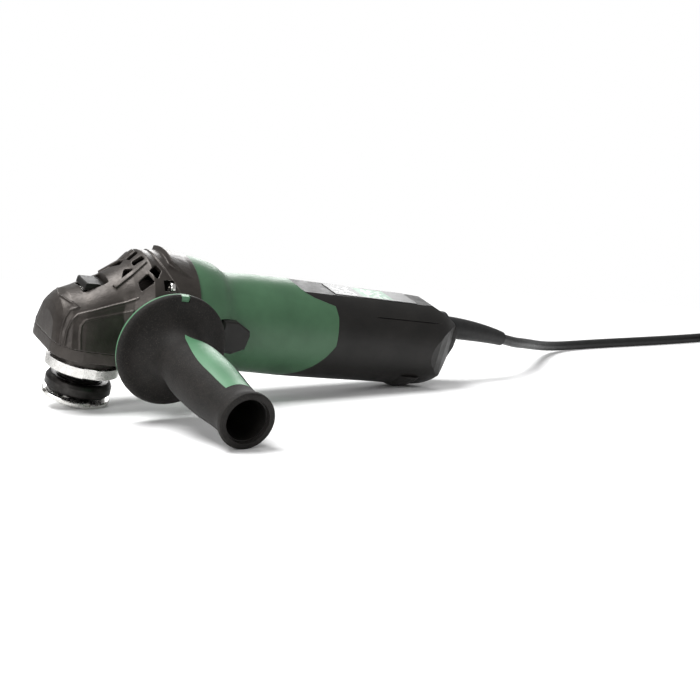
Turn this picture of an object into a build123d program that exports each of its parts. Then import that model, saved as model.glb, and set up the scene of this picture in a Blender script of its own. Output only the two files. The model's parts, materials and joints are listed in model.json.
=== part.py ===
from build123d import *
from math import atan2, ceil, cos, pi, radians, sin, sqrt, tan
import os

# An angle grinder for 125 mm discs, lying at rest on a floor. Lengths are in millimetres.
# Every piece is modelled in the tool's own axes: X along the motor shaft towards the cord,
# Z along the spindle away from the disc, and the two axes cross at the origin. The side
# handle points along -Y. At the end every piece is turned into the resting pose, where the
# clamping nut, the end of the side handle and the rear foot touch the floor.

CLEAR = 0.05           # radial clearance of shafts in bearings and of screws in holes
GAP = 0.3              # gap between shells and between bodies that pass each other

# gear head
SEAM_Z = -18.3         # joint between gear housing and gear cover
COVER_Z = -25.4        # underside of the gear cover
COLLAR_R = 38.4        # radius of the round collar behind the head
COLLAR_START = 22.0    # where the dome of the head reaches the collar's radius
FLANGE_X = 52.0        # joint between gear housing and motor housing
CHAMBER_R = 24.6       # radius of the gear chamber
CHAMBER_STEP = -3.4    # above this height the chamber is narrower
CHAMBER_UPPER_R = 17.0
CHAMBER_TOP = 5.0      # roof of the gear chamber
PINION_CHAMBER_R = 16.0
COVER_SCREWS = ((-20.5, -20.5), (-20.5, 20.5), (21.5, -24.5), (21.5, 24.5))
SCREW_CIRCLE = 35.4    # the long screws that hold the gear housing to the motor housing
SCREW_ANGLES = (45, 135, 225, 315)
SCREW_HEAD_X = 35.0
UPPER_BOSS_START = 26.4
FAN_SPACE_START = 45.5

# the nose from front to rear: x, half width at the seam and at the shoulders, height of the
# shoulders, height of the crown
NOSE_SECTIONS = (
    (-29.8, 14.0, 11.0, -8.0, -4.0),
    (-28.6, 19.0, 14.5, -6.5, 1.5),
    (-26.0, 23.8, 18.0, -5.0, 5.5),
    (-21.5, 27.5, 20.5, -2.2, 9.6),
    (-14.0, 30.0, 22.3, 2.0, 12.4),
    (-2.0, 31.0, 23.0, 7.0, 19.0),
    (10.0, 31.6, 23.6, 11.8, 24.6),
    (22.0, 32.1, 24.5, 17.0, 27.0),
    (34.0, 32.5, 25.5, 21.5, 28.5),
)

# the dome behind the nose: (x, radius) from its front to the joint
DOME_STATIONS = (
    (-2.0, 19.5),
    (6.8, 25.2),
    (12.9, 29.4),
    (17.6, 34.4),
    (21.5, 38.2),
    (COLLAR_START, COLLAR_R),
    (FLANGE_X, COLLAR_R),
)

# air outlets of the head's right half: corners as (x, angle from the top)
WINDOWS = (
    ((15.2, 3), (20.0, 4), (20.6, 11.5), (14.9, 11.5)),
    ((10.6, 7.6), (14.0, 15.0), (11.9, 24.6), (7.0, 28.4)),
    ((20.3, 29.4), (25.2, 22.2), (27.8, 29.0), (23.8, 40.0)),
    ((14.6, 37.5), (19.3, 31.6), (21.8, 43.0), (15.4, 49.5)),
)

# spindle
SPINDLE_R = 7.0        # M14 thread
SPINDLE_END = -62.4
SPINDLE_HUB_R = 6.6    # where the crown gear sits
NECK_R = 20.5
GUARD_RIM_R = 23.2     # clamping rim for the wheel guard
GUARD_RIM_TOP = -32.4
GUARD_RIM_BOTTOM = -38.5
GUARD_NOTCHES = (20, 140, 260)
INNER_FLANGE_R = 20.5
NUT_R = 21.0
NUT_TOP = -54.8
NUT_BOTTOM = -58.1

# bevel gears: both pitch cones have their apex at the origin
CROWN_TEETH = 37
PINION_TEETH = 11
CROWN_PITCH_R = 22.0
FACE_SHARE = 0.34      # face width as a share of the cone distance
ADDENDUM = 0.8         # in modules
DEDENDUM = 1.15
MODULE = 2 * CROWN_PITCH_R / CROWN_TEETH
CONE_DISTANCE = CROWN_PITCH_R / sin(atan2(CROWN_TEETH, PINION_TEETH))
CROWN_TOP = -6.4       # the crown gear's hub, on the side of the lock pin
PINION_BORE = 2.5
PINION_FRONT = 12.6

# spindle lock
LOCK_R = 10.4          # distance of the lock pin from the spindle axis
LOCK_PIN_R = 2.2
LOCK_PIN_TOP = 16.2
LOCK_TRAVEL = 4.5
LOCK_HOLES = 4
LOCK_ENGAGEMENT = 2.7  # how deep the pressed pin enters the crown gear
LOCK_PIN_BOTTOM = CROWN_TOP - LOCK_ENGAGEMENT + LOCK_TRAVEL

# motor
BODY_BORE = 28.4
ARMATURE_R = 17.0
STATOR_R = 24.0
STATOR_BORE = 17.6
STATOR_START = 72.0
STATOR_END = 118.0
SHAFT_R = 6.0
COMMUTATOR_R = 10.5
COMMUTATOR_START = 127.0
COMMUTATOR_END = 139.0
FAN_R = 31.0
BRUSH_X = 133.0
BRUSH_TRAVEL = 4.0     # how far a brush can be lifted
BRUSH_HALF_X = 4.0
BRUSH_HALF_Y = 3.0
BRUSH_WAY_END = 25.4   # closed outer end of the brush holder
BRUSH_END = BRUSH_WAY_END - BRUSH_TRAVEL - 0.9
BRUSH_HOLDER = ((BRUSH_X - 5.4, BRUSH_X + 5.4), (-4.4, 4.4), (COMMUTATOR_R + 1.2, 26.2))

# rear cover
REAR_SPLIT = 126.0     # joint between motor housing and rear cover, on top
REAR_END = 262.0
FACET_Z = 28.3         # flat top of the rear cover, under the label
FOOT_X = 223.0
FOOT_R = 32.2
EXIT_Z = 11.5          # height of the cord exit above the motor axis
REAR_SCREW_X = 146.0
REAR_SCREW_ANGLES = (155, 205)

# the joint between motor housing and rear cover from the side: a lobe of (x, z) corners
SIDE_LOBE = ((125.0, 33.0), (129.0, 31.2), (134.0, 28.4), (139.0, 26.8), (153.6, 23.8), (155.0, 18.5),
             (155.0, 0.5), (150.0, -8.0), (144.0, -16.0), (137.0, -22.5), (126.0, -29.5), (125.0, -34.0))

# slide switch
SWITCH_TRAVEL = 8.0
SLIDER_FRONT = 69.0
SLIDER_REAR = 88.0
SLIDER_FACE = -37.0
SLIDER_SEAT = -31.6    # flat that the slider runs along
SLIDER_MID_Z = 0.5
STEM_FRONT = 73.0
STEM_REAR = 82.0
ROD_Y = -25.4

# side handle, along the line y = -distance
HANDLE_X = 23.0
HANDLE_Z = 0.2
HANDLE_END = 170.5
HANDLE_END_R = 16.4
HANDLE_FLANGE_R = 34.2
HANDLE_FLANGE_FACE = 66.6
HANDLE_BOSS = 39.8     # face of the boss that the handle is screwed against
STUD_R = 4.0           # M8 thread

# cord
CORD_D = 7.4
CORD_LENGTH = 2500.0
GUARD_NECK_R = 8.6     # the sleeve's neck in the rear cover
GUARD_COLLAR_R = 10.6
GUARD_LINE = ((246.0, 0, 11.5), (262.0, 0, 11.5), (280.0, 0.4, 10.5), (296.0, 1.6, 8.7), (308.5, 3.0, 6.6))
GUARD_RADII = (7.8, 7.6, 6.9, 5.9, 5.0)

# the cord's places in the resting frame: X to the rear along the floor, Z up, floor at zero
CORD_ROUTE = (
    (211, 73.5, 23), (229, 87, 20), (250, 105.5, 16), (274, 128, 11.4), (299, 149, 7), (325, 163, 4),
    (362, 165.5, 3.7), (407, 162, 3.7), (455, 160.3, 3.7), (501, 164, 3.7),
)
TAIL_ROUTE = ((575, 90, 3.7), (575.5, 77, 4.2), (574.8, 64, 7.2), (574, 50, 9.5))
FREE_LENGTH = 405.0    # cord that isn't coiled
COIL_CENTRE = (530, 119)
COIL_OUTER = 53.7
COIL_TURNS = 3         # turns beside each other in a layer
COIL_INNER = COIL_OUTER - COIL_TURNS * CORD_D
COIL_LAYERS = ceil((CORD_LENGTH - FREE_LENGTH) / (COIL_TURNS * pi * (COIL_OUTER + COIL_INNER)))
COIL_HEIGHT = COIL_LAYERS * CORD_D

SHAFT = Plane(origin=(0, 0, 0), x_dir=(0, 1, 0), z_dir=(1, 0, 0))
SPINDLE = Plane.XY
HANDLE = Plane(origin=(HANDLE_X, 0, HANDLE_Z), x_dir=(1, 0, 0), z_dir=(0, -1, 0))
HANDLE_RIGHT = Plane(origin=(HANDLE_X, 0, HANDLE_Z), x_dir=(1, 0, 0), z_dir=(0, 1, 0))
BASE = (Align.CENTER, Align.CENTER, Align.MIN)


# ---- general shapes

def rod(plane, radius, start, end):
    """A cylinder along a plane's normal, between two distances from the plane."""
    return plane.offset(start) * Cylinder(radius, end - start, align=BASE)


def ring(plane, outer, inner, start, end):
    return rod(plane, outer, start, end) - rod(plane, inner, start, end)


def turned(plane, outline):
    """A solid of revolution about the plane's normal from (radius, distance) corners."""
    face = Plane.XZ * make_face(Polyline(*outline, close=True))
    return plane * revolve(face, Axis.Z)


def turned_curve(plane, curve, corners):
    """As turned, but the outline starts with a smooth curve and closes through corners."""
    edges = Spline(*curve) + Polyline(curve[-1], *corners, curve[0])
    return plane * revolve(Plane.XZ * make_face(edges), Axis.Z)


def box(x, y, z):
    """A box between pairs of limits."""
    size = [high - low for low, high in (x, y, z)]
    middle = [(high + low) / 2 for low, high in (x, y, z)]
    return Pos(*middle) * Box(*size)


def side_prism(outline, y_low, y_high):
    """An outline in (x, z), extruded across the tool."""
    face = Plane.XZ * make_face(Polyline(*outline, close=True))
    return Pos(0, y_high, 0) * extrude(face, y_high - y_low)


def around_shaft(shape, angle):
    return shape.rotate(Axis.X, angle)


def around_spindle(shape, angle):
    return shape.rotate(Axis.Z, angle)


def mirrored(shape):
    """The same shape on the other side of the tool."""
    return mirror(shape, about=Plane.XZ)


def joined(shapes):
    total = shapes[0]
    for shape in shapes[1:]:
        total = total + shape
    return total


def bearing(plane, outer, inner, start, width):
    """A shielded ball bearing: a ring with a shallow step on both faces."""
    step = (outer - inner) * 0.28
    groove = ring(plane, outer - step, inner + step, start, start + 0.5)
    other = ring(plane, outer - step, inner + step, start + width - 0.5, start + width)
    return ring(plane, outer, inner, start, start + width) - groove - other


def coil_spring(radius, wire, length, turns):
    """A helical spring that stands on z = 0."""
    path = Helix(pitch=length / turns, height=length, radius=radius)
    section = Plane(origin=path @ 0, z_dir=path % 0) * Circle(wire)
    return Pos(0, 0, wire) * sweep(section, path=path, is_frenet=True)


# ---- gear head

def head_section(x, half, top_half, shoulder, crown):
    """A cross section of the head: a crowned top between two shoulders, and drafted sides."""
    sides = Polyline((-top_half, shoulder), (-half, SEAM_Z), (half, SEAM_Z), (top_half, shoulder))
    top = ThreePointArc((top_half, shoulder), (0, crown), (-top_half, shoulder))
    section = Plane(origin=(x, 0, 0), x_dir=(0, 1, 0), z_dir=(1, 0, 0))
    return section * make_face(sides + top)


def head_nose():
    """The drafted nose over the gears, blunt in front and rising to the rear."""
    return loft([head_section(*row) for row in NOSE_SECTIONS], ruled=True)


def dome(inset):
    """The dome between the nose and the collar, and the collar itself."""
    profile = [(radius - inset, x) for x, radius in DOME_STATIONS]
    return turned(SHAFT, [(0, profile[0][1])] + profile + [(0, FLANGE_X)])


def forward_arc(apex, side, half):
    """A plan region behind an arc whose apex is at the tool's middle."""
    arc = ThreePointArc((side, -half), (apex, 0), (side, half))
    back = Polyline((side, half), (FLANGE_X, half), (FLANGE_X, -half), (side, -half))
    return extrude(make_face(arc + back), 60)


def collar_band():
    """A raised band round the collar, whose front edge runs forward on top."""
    band = ring(SHAFT, COLLAR_R + 0.8, COLLAR_R - 2, COLLAR_START, FLANGE_X)
    upper = band & forward_arc(27, 38.5, 30.5)
    lower = ring(SHAFT, COLLAR_R + 0.8, COLLAR_R - 2, 38.5, FLANGE_X)
    return upper + lower


def collar_pad():
    """The raised ramp on top of the collar, highest in front and flush at the joint."""
    outline = [(36, 33), (42.2, 35), (40.6, 41), (38.6, FLANGE_X), (36, FLANGE_X)]
    return turned(SHAFT, outline) & forward_arc(30, 45.5, 22.5)


def screw_boss(angle):
    """What stays solid in the collar for one of the long screws, slimmer beside the fan."""
    start = SCREW_HEAD_X if 90 < angle < 270 else UPPER_BOSS_START
    boss = rod(SHAFT, 6.4, start, FAN_SPACE_START) + rod(SHAFT, 3.8, start, FLANGE_X + 1)
    return around_shaft(Pos(0, 0, SCREW_CIRCLE) * boss, angle)


def dome_point(x, angle):
    """A point on the dome at a distance along the shaft and an angle from the top."""
    for (x0, r0), (x1, r1) in zip(DOME_STATIONS, DOME_STATIONS[1:]):
        if x0 <= x <= x1:
            radius = r0 + (r1 - r0) * (x - x0) / (x1 - x0)
    return Vector(x, -radius * sin(radians(angle)), radius * cos(radians(angle)))


def dome_window(corners):
    """An air outlet through the dome, from four (x, angle) corners."""
    points = [dome_point(x, angle) for x, angle in corners]
    middle = sum(points[1:], points[0]) / len(points)
    normal = (points[2] - points[0]).cross(points[3] - points[1]).normalized()
    plane = Plane(origin=middle, z_dir=normal)
    flat = [plane.to_local_coords(point) for point in points]
    face = plane * make_face(Polyline(*[(point.X, point.Y) for point in flat], close=True))
    rounded = fillet(face.vertices(), 0.9)
    return extrude(rounded, 7, both=True)


def outlet_rib():
    """The long rib that parts the two rows of air outlets on one side."""
    start = dome_point(2.8, 36.3)
    end = dome_point(20.4, 16)
    along = (end - start).normalized()
    outward = Vector(-0.45, -0.45, 0.77)
    across = along.cross(outward).normalized()
    plane = Plane(origin=(start + end) / 2, x_dir=along, z_dir=across.cross(along) * -1)
    return plane * Box((end - start).length, 3.2, 3.0)


def gear_chamber():
    """The thick inner casting that holds the gears and the front bearings."""
    spindle_part = rod(SPINDLE, CHAMBER_R + 3, SEAM_Z, 8.5)
    shaft_part = rod(SHAFT, PINION_CHAMBER_R + 4.5, 0, 38)
    return spindle_part + shaft_part


def gear_housing():
    nose = head_nose()
    above_seam = box((-40, FLANGE_X), (-50, 50), (SEAM_Z, 60))
    above_seam += box((33, FLANGE_X), (-50, 50), (-60, 0))
    shell = (dome(0) & above_seam) + collar_band() + collar_pad()
    hollow = dome(3.2) & box((9, FLANGE_X), (-50, 50), (-60, 60))
    air_space = hollow - gear_chamber() - box((9, 36), (-50, 50), (-60, SEAM_Z + 6))
    for angle in SCREW_ANGLES:
        air_space -= screw_boss(angle)
    shell = shell - air_space
    body = shell + (nose - hollow) + (gear_chamber() & (nose + dome(0)) & above_seam)
    for side in (HANDLE, HANDLE_RIGHT):
        body += rod(side, 10.5, 24, HANDLE_BOSS)
    body -= rod(SPINDLE, CHAMBER_R, SEAM_Z - 1, CHAMBER_STEP)
    body -= rod(SPINDLE, CHAMBER_UPPER_R, CHAMBER_STEP - 1, CHAMBER_TOP)
    body += rod(SPINDLE, 7.4, -2, CHAMBER_TOP)
    body -= rod(SPINDLE, 5.5, -3, 3.6)
    body -= rod(SHAFT, 9.5, 7.9, 28) + rod(SHAFT, 13.0, 28, 39)
    for windows_side in (lambda shape: shape, mirrored):
        for corners in WINDOWS:
            body -= windows_side(dome_window(corners))
        body += windows_side(outlet_rib()) & dome(-1.5)
    body -= rod(HANDLE, STUD_R, 24, 45) + rod(HANDLE_RIGHT, STUD_R - 0.65, 24, 45)
    body -= lock_pocket()
    for angle in SCREW_ANGLES:
        hole = rod(SHAFT, 2.1, 30, 60) + rod(SHAFT, 4.5, 28.0, SCREW_HEAD_X)
        body -= around_shaft(Pos(0, 0, SCREW_CIRCLE) * hole, angle)
    for x, y in COVER_SCREWS:
        body -= Pos(x, y, 0) * rod(SPINDLE, 1.75, SEAM_Z - 1, SEAM_Z + 6)
    return body.solids().sort_by(SortBy.VOLUME)[-1]


def gear_cover():
    """The lower cover with the bearing seat and the neck that carries the guard's rim."""
    plate = head_nose() & box((-40, 32), (-50, 50), (SEAM_Z, SEAM_Z + 0.5))
    outline = plate.faces().sort_by(Axis.Z)[0]
    slab = extrude(outline, COVER_Z - SEAM_Z, dir=(0, 0, 1))
    spigot = rod(SPINDLE, CHAMBER_R - 0.1, SEAM_Z - 1, SEAM_Z + 2.5)
    cover = slab + spigot + rod(SPINDLE, NECK_R, GUARD_RIM_BOTTOM, COVER_Z + 1)
    cover -= rod(SPINDLE, 16, -27, 0) + rod(SPINDLE, 12, -31, 0) + rod(SPINDLE, 9.5, -50, 0)
    cover -= rod(SPINDLE, 20.8, SEAM_Z + 1.5, 0)
    for x, y in COVER_SCREWS:
        screw_hole = rod(SPINDLE, 2.1, -40, 0) + rod(SPINDLE, 3.9, -40, COVER_Z + 2.4)
        cover -= Pos(x, y, 0) * screw_hole
    return cover


def guard_rim():
    """The notched steel rim round the neck, which a wheel guard's band grips."""
    rim = ring(SPINDLE, GUARD_RIM_R, NECK_R, GUARD_RIM_BOTTOM, GUARD_RIM_TOP)
    for angle in GUARD_NOTCHES:
        rim -= around_spindle(box((22.0, 25), (-4, 4), (GUARD_RIM_BOTTOM - 1, GUARD_RIM_TOP + 1)), angle)
    return rim


def pan_screw(head_r, head_height, shank_r, length):
    """A screw with its head's underside at z = 0 and its shank along +Z."""
    head = fillet(Cylinder(head_r, head_height, align=BASE).edges().sort_by(Axis.Z)[0], head_height * 0.45)
    socket = Cylinder(head_r * 0.42, head_height * 0.6, align=BASE)
    lobe = Pos(head_r * 0.42, 0, 0) * Cylinder(head_r * 0.12, head_height * 0.6, align=BASE)
    socket = joined([socket] + [Rot(0, 0, 60 * index) * lobe for index in range(6)])
    return Pos(0, 0, -head_height) * (head - socket) + Cylinder(shank_r, length, align=BASE)


def gear_cover_screws():
    screw = pan_screw(3.6, 2.2, 1.7, 10.0)
    return [Pos(x, y, COVER_Z + 2.4) * screw for x, y in COVER_SCREWS]


def gear_housing_screws():
    screw = SHAFT.offset(SCREW_HEAD_X) * pan_screw(3.7, 2.8, 2.0, 22)
    return [around_shaft(Pos(0, 0, SCREW_CIRCLE) * screw, angle) for angle in SCREW_ANGLES]


def lock_pocket():
    """The recess for the lock button, with the hole for its pin."""
    recess = box((-13.5, 0.6), (-7.9, 7.9), (8.5, 40))
    return recess + Pos(-LOCK_R, 0, 0) * rod(SPINDLE, LOCK_PIN_R + CLEAR, 0, 20)


def lock_button():
    """A wedge-shaped press button, lower in front, on its pin."""
    outline = [(-13.2, 13.3), (-12.7, 17.2), (0.2, 17.5), (0.2, 13.3)]
    button = side_prism(outline, -7.6, 7.6)
    top_edges = button.edges().filter_by(Axis.Y).sort_by(Axis.Z)[-3:]
    button = chamfer(top_edges, 0.6)
    return button - Pos(-LOCK_R, 0, 0) * rod(SPINDLE, LOCK_PIN_R, 10, LOCK_PIN_TOP)


def lock_pin():
    return Pos(-LOCK_R, 0, 0) * rod(SPINDLE, LOCK_PIN_R, LOCK_PIN_BOTTOM, LOCK_PIN_TOP)


def lock_spring():
    return Pos(-LOCK_R, 0, 8.6) * coil_spring(2.7, 0.3, 3.9, 4)


# ---- spindle and gears

def cone_frame(sign):
    """The common line of the pitch cones, and the direction in which a gear's teeth point."""
    crown_angle = atan2(CROWN_TEETH, PINION_TEETH)
    line = Vector(sin(crown_angle), 0, -cos(crown_angle))
    outward = Vector(cos(crown_angle), 0, sin(crown_angle)) * sign
    return line, outward


def bevel_tooth(sign, pitch_share, roll_angle):
    """One straight tooth that tapers towards the cones' common apex."""
    line, outward = cone_frame(sign)
    across = Vector(0, 1, 0)
    half = pitch_share * pi * MODULE / 2
    tip = half - ADDENDUM * MODULE * tan(radians(roll_angle))
    root = half + DEDENDUM * MODULE * tan(radians(roll_angle))
    corners = [(tip, ADDENDUM * MODULE), (-tip, ADDENDUM * MODULE), (-root, -DEDENDUM * MODULE - 0.4),
               (root, -DEDENDUM * MODULE - 0.4)]
    wires = []
    for share in (1.0, 1.0 - FACE_SHARE):
        points = [(line * CONE_DISTANCE + across * u + outward * v) * share for u, v in corners]
        wires.append(Wire.make_polygon(points, close=True))
    return Solid.make_loft(wires, ruled=True)


def blank_corner(sign, share, depth):
    """A point on a gear's root cone, as (radius, distance) in that gear's own turning plane."""
    line, outward = cone_frame(sign)
    point = (line * CONE_DISTANCE - outward * depth * MODULE) * share
    return point


def crown_gear():
    outer = blank_corner(1, 1.0, DEDENDUM)
    inner = blank_corner(1, 1.0 - FACE_SHARE, DEDENDUM)
    blank = turned(SPINDLE, [
        (SPINDLE_HUB_R + CLEAR, -14.0), (outer.X - 1.2, -14.0), (outer.X + 0.4, -12.4), (outer.X, outer.Z),
        (inner.X, inner.Z), (inner.X - 0.8, CROWN_TOP), (SPINDLE_HUB_R + CLEAR, CROWN_TOP),
    ])
    tooth = bevel_tooth(1, 0.40, 20)
    teeth = [around_spindle(tooth, (index + 0.5) * 360 / CROWN_TEETH) for index in range(CROWN_TEETH)]
    gear = blank + teeth
    for index in range(LOCK_HOLES):
        hole = Pos(-LOCK_R, 0, 0) * rod(SPINDLE, LOCK_PIN_R + 0.35, -15, 0)
        gear -= around_spindle(hole, index * 360 / LOCK_HOLES)
    return gear - key_block(0.05)


def key_block(grow):
    """The key between spindle and crown gear, here a parallel one."""
    return box((SPINDLE_HUB_R - 1.4 - grow, SPINDLE_HUB_R + 0.9 + grow), (-1.5 - grow, 1.5 + grow),
               (-13.2 - grow, -7.2 + grow))


def spindle():
    body = turned(SPINDLE, [
        (0, 2.9), (3.6, 2.9), (4.0, 2.5), (4.0, -2.5), (SPINDLE_HUB_R, -4.0), (SPINDLE_HUB_R, -14.0),
        (7.6, -14.0), (7.6, -16.0), (6.0, -16.0), (6.0, -27.0), (8.2, -27.2), (8.2, -42.4),
        (SPINDLE_R, -42.8), (SPINDLE_R, SPINDLE_END + 1.2),
        (SPINDLE_R - 1.4, SPINDLE_END), (0, SPINDLE_END),
    ])
    return body - key_block(0)


def inner_flange():
    """The support flange above the disc, with the pilot that centres it."""
    body = turned(SPINDLE, [
        (SPINDLE_R + CLEAR, -43.0), (12.5, -43.0), (13.4, -44.2), (17.6, -44.2), (19.4, -45.4),
        (INNER_FLANGE_R, -47.2), (INNER_FLANGE_R, -51.6), (INNER_FLANGE_R - 1.4, -53.2), (11.1, -53.2),
        (11.1, NUT_TOP + 0.1), (SPINDLE_R + CLEAR, NUT_TOP + 0.1),
    ])
    groove = ring(SPINDLE, 16.6, 14.2, -44.8, -44.0)
    return body - groove


def clamping_nut():
    """A round nut with four holes for a pin spanner."""
    body = turned(SPINDLE, [
        (SPINDLE_R + CLEAR, NUT_TOP), (17.5, NUT_TOP), (18.2, NUT_TOP - 0.6), (NUT_R - 0.6, NUT_TOP - 0.6),
        (NUT_R, NUT_TOP - 1.2), (NUT_R, NUT_BOTTOM + 0.5), (NUT_R - 0.5, NUT_BOTTOM), (11.5, NUT_BOTTOM),
        (10.6, NUT_BOTTOM - 1.6), (SPINDLE_R + CLEAR, NUT_BOTTOM - 1.6),
    ])
    hole = Pos(15.0, 0, 0) * rod(SPINDLE, 2.3, -70, 0)
    notch = box((19.2, 25), (-2.4, 2.4), (NUT_BOTTOM + 1.4, 0))
    for index in range(4):
        body -= around_spindle(hole, 45 + 90 * index)
        body -= around_spindle(notch, 90 * index)
    return body


def upper_spindle_bearing():
    return ring(SPINDLE, 5.5, 4.0 + CLEAR, -2.0, 3.5)


def lower_spindle_bearing():
    return bearing(SPINDLE, 16.0, 6.0 + CLEAR, -26.9, 10.0)


def bearing_circlip():
    """An open spring ring above the spindle bearing."""
    clip = ring(SPINDLE, 15.9, 13.6, -16.8, -15.6)
    return clip - box((10, 20), (-3, 3), (-18, -14))


def spindle_seal():
    return ring(SPINDLE, 12.0, 8.2 + CLEAR, -30.9, -27.3)


# ---- armature

def pinion():
    outer = blank_corner(-1, 1.0, DEDENDUM)
    inner = blank_corner(-1, 1.0 - FACE_SHARE, DEDENDUM)
    blank = turned(SHAFT, [
        (PINION_BORE, PINION_FRONT), (-inner.Z - 0.3, PINION_FRONT), (-inner.Z, inner.X),
        (-outer.Z, outer.X), (-outer.Z, 24.4), (PINION_BORE, 24.4),
    ])
    tooth = bevel_tooth(-1, 0.34, 14)
    return blank + [around_shaft(tooth, index * 360 / PINION_TEETH) for index in range(PINION_TEETH)]


def pinion_nut():
    hexagon = SHAFT.offset(8.6) * extrude(RegularPolygon(4.3, 6), PINION_FRONT - 8.6)
    return hexagon - rod(SHAFT, PINION_BORE, 8, 13)


def armature_shaft():
    return turned(SHAFT, [
        (0, 8.6), (PINION_BORE, 8.6), (PINION_BORE, 24.4), (5.0, 24.4), (5.0, 44.0), (SHAFT_R, 44.0),
        (SHAFT_R, 122.0), (5.0, 122.0), (5.0, 140.8), (4.0, 140.8), (4.0, 148.4), (0, 148.4),
    ])


def armature_core():
    """The stack of laminations with its winding slots."""
    core = ring(SHAFT, ARMATURE_R, SHAFT_R, 74, 116)
    slot = Pos(0, 0, 13.2) * box((73, 117), (-1.2, 1.2), (-2.2, 2.6))
    mouth = box((73, 117), (-0.6, 0.6), (14, 18))
    for index in range(12):
        core -= around_shaft(slot + mouth, index * 30)
    return core


def armature_windings():
    """The end turns on both sides of the core, joined by the wires in the slots."""
    front = turned(SHAFT, [(6.0, 66.5), (12.5, 66.5), (15.0, 69.5), (15.0, 74), (6.0, 74)])
    rear = turned(SHAFT, [(6.0, 116), (15.0, 116), (15.0, 119.5), (12.0, 122.0), (6.0, 122.0)])
    wires = Pos(0, 0, 13.2) * box((73.9, 116.1), (-1.1, 1.1), (-2.1, 2.0))
    return front + rear + [around_shaft(wires, index * 30) for index in range(12)]


def commutator():
    body = ring(SHAFT, COMMUTATOR_R, 5.0, COMMUTATOR_START, COMMUTATOR_END)
    body += ring(SHAFT, COMMUTATOR_R + 1.4, 5.0, COMMUTATOR_START - 3.0, COMMUTATOR_START)
    slot = box((COMMUTATOR_START - 4, COMMUTATOR_END + 1), (-0.25, 0.25),
               (COMMUTATOR_R - 0.8, COMMUTATOR_R + 3))
    for index in range(24):
        body -= around_shaft(slot, index * 15)
    return body


def fan():
    """A radial fan that blows forward and out through the gear housing."""
    disc = ring(SHAFT, FAN_R, 5.0 + 1.0, 54.6, 56.6)
    hub = ring(SHAFT, 9.0, SHAFT_R, 46.0, 56.6)
    blade = box((46.4, 55.0), (-0.8, 0.8), (15, FAN_R - 0.6))
    blade = blade.rotate(Axis((0, 0, 22), (1, 0, 0)), 28)
    blades = [around_shaft(blade, index * 360 / 13) for index in range(13)]
    return (disc - ring(SHAFT, SHAFT_R, 1, 54, 57)) + hub + blades


def front_bearing():
    return bearing(SHAFT, 13.0, 5.0 + CLEAR, 28.0, 8.0)


def bearing_plate():
    """The plate that closes the gear chamber behind the front bearing."""
    plate = ring(SHAFT, 20.3, 7.0, 38.1, 40.4)
    lip = ring(SHAFT, 12.9, 9.5, 36.1, 38.2)
    return plate + lip


def rear_bearing():
    return bearing(SHAFT, 11.0, 4.0 + CLEAR, 141.0, 7.0)


def bearing_boot():
    """The rubber cup that holds the rear bearing."""
    return ring(SHAFT, 12.8, 11.0, 141.0, 149.0) + ring(SHAFT, 12.8, 6.0, 148.3, 149.8)


# ---- motor housing and what it holds

def lobe_prism(grow):
    outline = [(x + grow if x > REAR_SPLIT else x, z) for x, z in SIDE_LOBE]
    return side_prism(outline, -40, 40)


def motor_outline():
    """The flared front of the motor housing, then its nearly straight barrel."""
    return [(38.0, FLANGE_X + 0.1), (38.0, 60.0), (36.9, 66.0), (34.6, 73.3), (32.2, 77.4), (30.9, 82.0),
            (31.0, 96.0), (31.4, 114.0), (31.6, 133.0), (31.4, 155.6)]


def motor_housing():
    outer = turned_curve(SHAFT, motor_outline(), [(0, 155.6), (0, FLANGE_X + 0.1)])
    barrel = outer & (box((50, REAR_SPLIT), (-50, 50), (-50, 50)) + lobe_prism(0))
    barrel += rod(SHAFT, BODY_BORE, 120, 152)
    bore = turned(SHAFT, [
        (0, 50), (34.8, 50), (34.8, 59.4), (29.6, 61.0), (BODY_BORE - 0.4, 66.0),
        (BODY_BORE - 0.4, REAR_SPLIT - 1), (26.8, REAR_SPLIT), (26.8, 160), (0, 160),
    ])
    body = barrel - bore
    for angle in (45, 135, 225, 315):
        rib = box((STATOR_START, STATOR_END + 0.5), (-2.5, 2.5), (STATOR_R + CLEAR, BODY_BORE + 1))
        boss = Pos(0, 0, SCREW_CIRCLE) * rod(SHAFT, 4.0, FLANGE_X + 0.1, 64)
        spoke = box((141, 149), (-2, 2), (14.0, 27.4))
        body += around_shaft(rib + spoke, angle)
        body += around_shaft(boss, angle) & outer
    body += ring(SHAFT, 15.2, 12.8, 141, 150)
    for angle in REAR_SCREW_ANGLES:
        post = (Pos(REAR_SCREW_X, 0, 0) * rod(SPINDLE, 3.6, 21.0, 30)) & rod(SHAFT, 27.4, 120, 160)
        body += around_shaft(post, angle)
        body -= around_shaft(radial_hole(1.4 + CLEAR, 21.2), angle)
    for angle in SCREW_ANGLES:
        body -= around_shaft(Pos(0, 0, SCREW_CIRCLE) * rod(SHAFT, 2.0, 50, 62), angle)
    return body - slider_flat() - stem_slot()


def slider_flat():
    """The flat in the housing's side that the thumb piece runs along."""
    return box((SLIDER_FRONT - SWITCH_TRAVEL - 1, SLIDER_REAR + 1), (-50, SLIDER_SEAT),
               (SLIDER_MID_Z - 10.5, SLIDER_MID_Z + 11.5))


def stem_slot():
    return box((STEM_FRONT - SWITCH_TRAVEL - 0.5, STEM_REAR + 0.5), (-45, -20),
               (SLIDER_MID_Z - 4, SLIDER_MID_Z + 4))


def air_baffle():
    """The ring that makes the fan draw its air through the motor."""
    baffle = ring(SHAFT, 34.4, 17.5, 57.6, 59.2)
    for angle in SCREW_ANGLES:
        baffle -= around_shaft(Pos(0, 0, SCREW_CIRCLE) * rod(SHAFT, 5.0, 50, 62), angle)
    return baffle


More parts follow.
